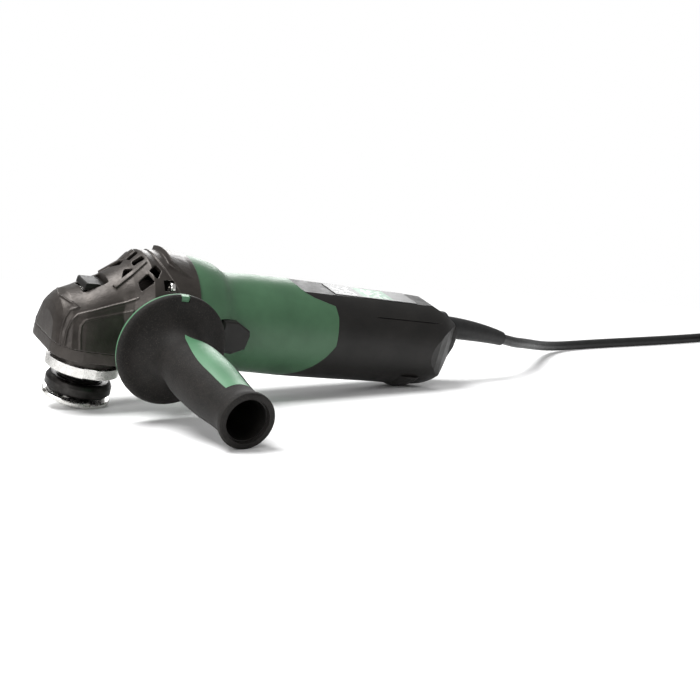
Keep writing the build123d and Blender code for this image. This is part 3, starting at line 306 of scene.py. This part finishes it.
def printed_label():
    """A blank generic plate: a dark foil with plain bars and a green band, and no lettering."""
    shade = Shade("printed_label")
    x, y, _ = shade.axes()
    width = shade.math("ABSOLUTE", y)
    band = shade.times(shade.between(x, 180.0, 204.0), shade.math("LESS_THAN", width, 8.6))
    rows = shade.math("GREATER_THAN", shade.wave(y, 2.6), 0.55)
    words = shade.math("GREATER_THAN", shade.noise(3.2, 1), 0.47)
    fields = shade.plus(shade.between(x, 161.0, 176.0), shade.between(x, 183.0, 201.0))
    bars = shade.times(shade.times(rows, words), fields)
    inside = shade.math("LESS_THAN", width, 8.0)
    ground = shade.mix(band, (0.016, 0.016, 0.016), (0.03, 0.15, 0.07))
    colour = shade.mix(shade.times(bars, inside), ground, (0.55, 0.56, 0.54))
    return shade.finish(Base_Color=colour, Roughness=0.36, Normal=shade.bump(shade.noise(0.8), 0.01))


def plain(name, colour, rough, metal=0.0):
    """A hidden or small part: one colour with slight variation and a fine surface."""
    shade = Shade(name)
    darker = tuple(value * 0.75 for value in colour)
    tone = shade.ramp(shade.noise(2.5, 4), (0.3, darker), (0.7, colour))
    roughness = shade.ramp(shade.noise(1.1), (0.3, rough - 0.06), (0.7, rough + 0.06))
    return shade.finish(Base_Color=tone, Metallic=metal, Roughness=roughness,
                        Normal=shade.bump(shade.noise(0.6), 0.02))


def floor_paint():
    """White near the tool, fading out until only the white surroundings are seen."""
    shade = Shade("floor_paint")
    x, y, _ = shade.axes()
    metres = shade.times(shade.reach(x, y), MM)
    cover = shade.ramp(metres, (FLOOR_FADE_START, 1.0), (FLOOR_FADE_END, 0.0))
    return shade.finish(Base_Color=(0.92, 0.92, 0.92), Roughness=0.8, Specular_IOR_Level=0.1,
                        Alpha=cover)


def slot_materials():
    """One material for each slot of the record."""
    return {
        "cast_head": cast_paint(),
        "green_plastic": grained("green_plastic", GREEN_DARK, GREEN_LIGHT, 0.42),
        "green_plastic_light": grained("mint_plastic", MINT_DARK, MINT_LIGHT, 0.42, depth=0.03),
        "black_plastic": grained("black_plastic", (0.006, 0.0055, 0.005), (0.012, 0.011, 0.010), 0.46,
                                 level=0.25),
        "soft_grip": speckled_rubber(),
        "bright_steel": turned_metal("bright_steel", (0.56, 0.55, 0.53), (0.72, 0.71, 0.69), 0.24,
                                     rings=0.5, depth=0.004),
        "black_steel": turned_metal("black_steel", (0.022, 0.021, 0.020), (0.045, 0.043, 0.041), 0.34,
                                    depth=0.006),
        "hard_steel": turned_metal("hard_steel", (0.20, 0.19, 0.18), (0.34, 0.33, 0.32), 0.30),
        "laminations": sheet_stack(),
        "copper": wound_copper(),
        "brass": turned_metal("brass", (0.48, 0.33, 0.12), (0.66, 0.48, 0.20), 0.28, about="shaft"),
        "carbon": plain("carbon", (0.02, 0.02, 0.022), 0.5),
        "white_plastic": plain("white_plastic", (0.62, 0.61, 0.57), 0.45),
        "label": printed_label(),
        "cord_jacket": rubber("cord_jacket", 0.42),
        "seal_rubber": rubber("seal_rubber"),
    }


def paint(piece, material):
    piece.data.materials.clear()
    piece.data.materials.append(material)


def paint_nodes(record):
    """Every CAD node gets the material of its slot."""
    for row in record["subparts"]:
        paint(FRAME["nodes"][row["node"]], MATERIALS[row["material_slot"]])


# ---- meshes

def evaluated_mesh(piece):
    """The mesh of a piece with its modifiers applied."""
    graph = bpy.context.evaluated_depsgraph_get()
    return bpy.data.meshes.new_from_object(piece.evaluated_get(graph))


def new_piece(name, mesh):
    piece = bpy.data.objects.new(name, mesh)
    bpy.context.scene.collection.objects.link(piece)
    return piece


def apply_modifiers(piece):
    made = evaluated_mesh(piece)
    piece.modifiers.clear()
    piece.data = made


def welded_copy(node, name):
    """A free copy of a CAD node whose faces share their corners."""
    piece = new_piece(name, FRAME["nodes"][node].data.copy())
    shape = bmesh.new()
    shape.from_mesh(piece.data)
    bmesh.ops.remove_doubles(shape, verts=shape.verts, dist=WELD)
    shape.to_mesh(piece.data)
    shape.free()
    return piece


def softened(node, name, body, slot, faces, extra=()):
    """A casting copied from its CAD node, with its edges rounded as in its mould."""
    piece = welded_copy(node, name)
    if extra:
        join_into(piece, extra)
    remesh = piece.modifiers.new("remesh", "REMESH")
    remesh.mode = "VOXEL"
    remesh.voxel_size = VOXEL * MM
    smooth = piece.modifiers.new("smooth", "SMOOTH")
    smooth.factor = 0.5
    smooth.iterations = SMOOTHING
    apply_modifiers(piece)
    thin = piece.modifiers.new("thin", "DECIMATE")
    thin.ratio = min(1.0, faces / len(piece.data.polygons))
    apply_modifiers(piece)
    for face in piece.data.polygons:
        face.use_smooth = True
    finish_piece(piece, body, slot, [node])
    return piece


def join_into(piece, extra):
    """Adds the meshes of other pieces to this one."""
    shape = bmesh.new()
    shape.from_mesh(piece.data)
    for other in extra:
        mesh = evaluated_mesh(other)
        mesh.transform(other.matrix_world)
        shape.from_mesh(mesh)
        bpy.data.objects.remove(other)
    shape.to_mesh(piece.data)
    shape.free()


def finish_piece(piece, body, slot, nodes=()):
    """Paints a piece with the material of its slot, hangs it on its body, and hides the nodes that it stands for.
    """
    paint(piece, MATERIALS[slot])
    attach(piece, body)
    if nodes:
        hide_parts(*nodes)


# ---- gear head

def surface_of(node):
    graph = bpy.context.evaluated_depsgraph_get()
    return BVHTree.FromObject(FRAME["nodes"][node], graph)


def ridge(tree, name, points, radius):
    """A raised line on a casting, through points that are pulled onto its surface."""
    curve = bpy.data.curves.new(name, "CURVE")
    curve.dimensions = "3D"
    curve.bevel_depth = radius * MM
    curve.use_fill_caps = True
    spline = curve.splines.new("POLY")
    dense = []
    for start, end in zip(points, points[1:]):
        first, last = Vector(start), Vector(end)
        dense += [first.lerp(last, step / RIDGE_STEPS) for step in range(RIDGE_STEPS)]
    dense.append(Vector(points[-1]))
    spline.points.add(len(dense) - 1)
    for target, point in zip(spline.points, dense):
        found = tree.find_nearest(place(*point))[0]
        target.co = (*found, 1)
    return new_piece(name, curve)


def head_ridges():
    """The fine raised lines that frame the nose's front and corner panels, on both sides."""
    tree = surface_of("gear_housing")
    lines = []
    for side in (-1, 1):
        outlines = [
            [(-27, 21.9, -17.9), (-26.8, 18.9, -10.2), (-25.3, 16.9, -2.2), (-22.7, 15.9, 2),
             (-18.5, 16.7, 4.5)],
            [(-25.4, 1.5, 6), (-22.5, 10.9, 5.9), (-18.2, 17.1, 4.3)],
            [(-25.3, 24.4, -17.9), (-24.3, 21.2, -9.1), (-22.4, 20.2, -3.2), (-18.9, 19.9, 1),
             (-10.8, 21.4, 4.5), (2.2, 22.2, 10), (14.1, 25.6, 16.8)],
            [(-16.7, 29.1, -17.9), (-17.2, 25.3, -9.8), (-17, 23.5, -4.7), (-14.8, 23.1, -1.1),
             (-10.6, 23.4, 0.5), (2.7, 24.3, 4.8), (12.2, 27.5, 9.1)],
        ]
        for index, outline in enumerate(outlines):
            points = [(x, y * side, z) for x, y, z in outline]
            lines.append(ridge(tree, f"line_{side}_{index}", points, RIDGE_R))
    return lines


def gear_head():
    softened("gear_housing", "head_casting", "housing", "cast_head", 150000, head_ridges())
    softened("gear_cover", "cover_casting", "housing", "cast_head", 40000)


# ---- cord

def coil_points():
    """The coil's turns: in along the floor, out in the second layer, and partly round on top."""
    outer, middle, inner = COIL_RADII
    stages = [  # turns, radius from and to, height from and to
        (2.85, outer, inner, 0.5, 0.5),
        (0.30, inner, inner, 0.5, 1.5),
        (2.60, inner, outer, 1.5, 1.5),
        (0.35, outer, middle, 1.5, 2.5),
        (0.85, middle, middle, 2.5, 2.5),
        (0.30, middle, outer, 2.5, 2.5),
    ]
    spread = 1 / math.cos(math.pi / COIL_STEPS)
    points = []
    angle = math.radians(COIL_START)
    for turns, first, last, low, high in stages:
        steps = round(turns * COIL_STEPS)
        for step in range(steps):
            share = step / steps
            radius = (first + (last - first) * share) * spread
            x = COIL_CENTRE[0] + radius * math.cos(angle)
            y = COIL_CENTRE[1] + radius * math.sin(angle)
            points.append((x, y, (low + (high - low) * share) * CORD_D))
            angle -= 2 * math.pi / COIL_STEPS
    return points


def cord():
    """The mains lead: one smooth curve from the sleeve through the coil to the plug."""
    start = place(*GUARD_END)
    route = [Vector(point) * MM for point in (*CORD_ROUTE, *coil_points(), *LEAVING)]
    curve = bpy.data.curves.new("mains_lead", "CURVE")
    curve.dimensions = "3D"
    curve.bevel_depth = CORD_D / 2 * MM
    curve.bevel_resolution = 6
    curve.resolution_u = 6
    curve.use_fill_caps = True
    spline = curve.splines.new("NURBS")
    spline.points.add(len(route))
    for target, point in zip(spline.points, [start, *route]):
        target.co = (*point, 1)
    spline.order_u = 3
    spline.use_endpoint_u = True
    lead = new_piece("mains_lead", curve)
    curve.materials.append(MATERIALS["cord_jacket"])
    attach(lead, "housing")
    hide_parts("cord", "cord_tail", "cord_coil")


# ---- stage

def area_light(name, at, target, size, power):
    light = bpy.data.lights.new(name, "AREA")
    light.shape = "DISK"
    light.size = size
    light.energy = power
    lamp = bpy.data.objects.new(name, light)
    lamp.location = at
    lamp.rotation_euler = (Vector(target) - Vector(at)).to_track_quat("-Z", "Y").to_euler()
    bpy.context.scene.collection.objects.link(lamp)


def stage():
    """A white floor, a soft light from above, two weaker ones, and white surroundings."""
    bpy.ops.mesh.primitive_plane_add(size=FLOOR_SIZE)
    floor = bpy.context.object
    floor.name = "floor"
    paint(floor, floor_paint())
    for light in LIGHTS:
        area_light(*light)
    surroundings()
    bpy.context.scene.view_settings.view_transform = "Standard"


def surroundings():
    """A white world that lights the tool less than it shines into the camera."""
    world = bpy.data.worlds.new("studio")
    world.use_nodes = True
    tree = world.node_tree
    seen = tree.nodes.new("ShaderNodeLightPath").outputs["Is Camera Ray"]
    strength = tree.nodes.new("ShaderNodeMapRange")
    strength.inputs["To Min"].default_value = LIGHTING_WORLD
    strength.inputs["To Max"].default_value = SEEN_WORLD
    tree.links.new(seen, strength.inputs["Value"])
    tree.links.new(strength.outputs["Result"], tree.nodes["Background"].inputs["Strength"])
    tree.nodes["Background"].inputs["Color"].default_value = (1, 1, 1, 1)
    bpy.context.scene.world = world


def camera():
    lens = bpy.data.cameras.new("camera")
    lens.lens = CAMERA_LENS
    lens.sensor_width = SENSOR_WIDTH
    lens.clip_start = 0.01
    body = bpy.data.objects.new("camera", lens)
    turn = Matrix.Rotation(math.radians(-CAMERA_AZIMUTH), 4, "Z")
    tilt = Matrix.Rotation(math.radians(90 - CAMERA_ELEVATION), 4, "X")
    roll = Matrix.Rotation(math.radians(CAMERA_ROLL), 4, "Z")
    body.matrix_world = Matrix.Translation(CAMERA_AT) @ turn @ tilt @ roll
    bpy.context.scene.collection.objects.link(body)
    bpy.context.scene.camera = body


with open("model.json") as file:
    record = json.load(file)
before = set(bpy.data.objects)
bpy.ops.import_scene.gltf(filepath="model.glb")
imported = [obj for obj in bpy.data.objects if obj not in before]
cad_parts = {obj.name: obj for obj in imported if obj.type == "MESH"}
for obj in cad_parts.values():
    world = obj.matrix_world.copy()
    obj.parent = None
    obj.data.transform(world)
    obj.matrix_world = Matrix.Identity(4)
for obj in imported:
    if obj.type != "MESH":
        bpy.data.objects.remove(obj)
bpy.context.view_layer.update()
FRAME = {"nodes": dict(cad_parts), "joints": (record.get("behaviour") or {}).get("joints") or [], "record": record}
TOOL = tool_matrix(FRAME["joints"])
MATERIALS = slot_materials()

camera()
stage()
paint_nodes(FRAME["record"])
cord()
gear_head()
